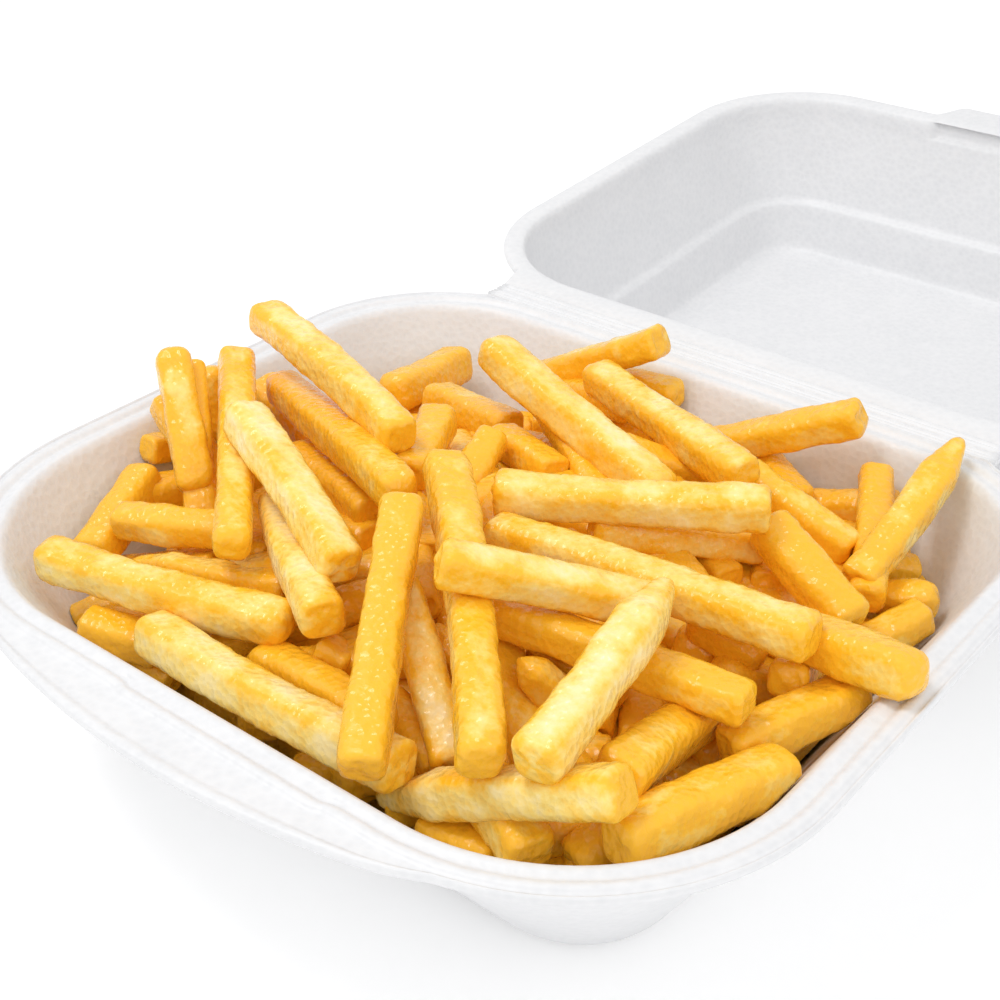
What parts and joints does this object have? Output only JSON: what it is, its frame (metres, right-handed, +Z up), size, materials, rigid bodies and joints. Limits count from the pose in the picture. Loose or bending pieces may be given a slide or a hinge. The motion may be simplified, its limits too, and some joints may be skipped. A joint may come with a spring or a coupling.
{
  "type": "french fries in a carton",
  "caption": "Heap of golden french fries in a white foam clamshell takeaway box with rounded corners, its lid swung open behind it on a folded hinge",
  "frame": {"origin": "on the table plane under the middle of the tray's opening", "axes": "+Y from the front edge to the hinge and the open lid, +Z up, +X along the hinge to the right as seen from the front"},
  "size_m": [0.2202, 0.4156, 0.0831],
  "materials": {
    "white foam": "matte",
    "fried potato": "satin"
  },
  "bodies": {
    "base": {"tray": "white foam", "fries": "fried potato"},
    "lid": {"lid": "white foam"}
  },
  "joints": [
    {"name": "lid_hinge", "type": "hinge", "parent": "base", "child": "lid", "pos_m": [0, 0.1001, 0.05815], "axis": [1, 0, 0], "range_deg": [-2.4, 140.5]}
  ]
}
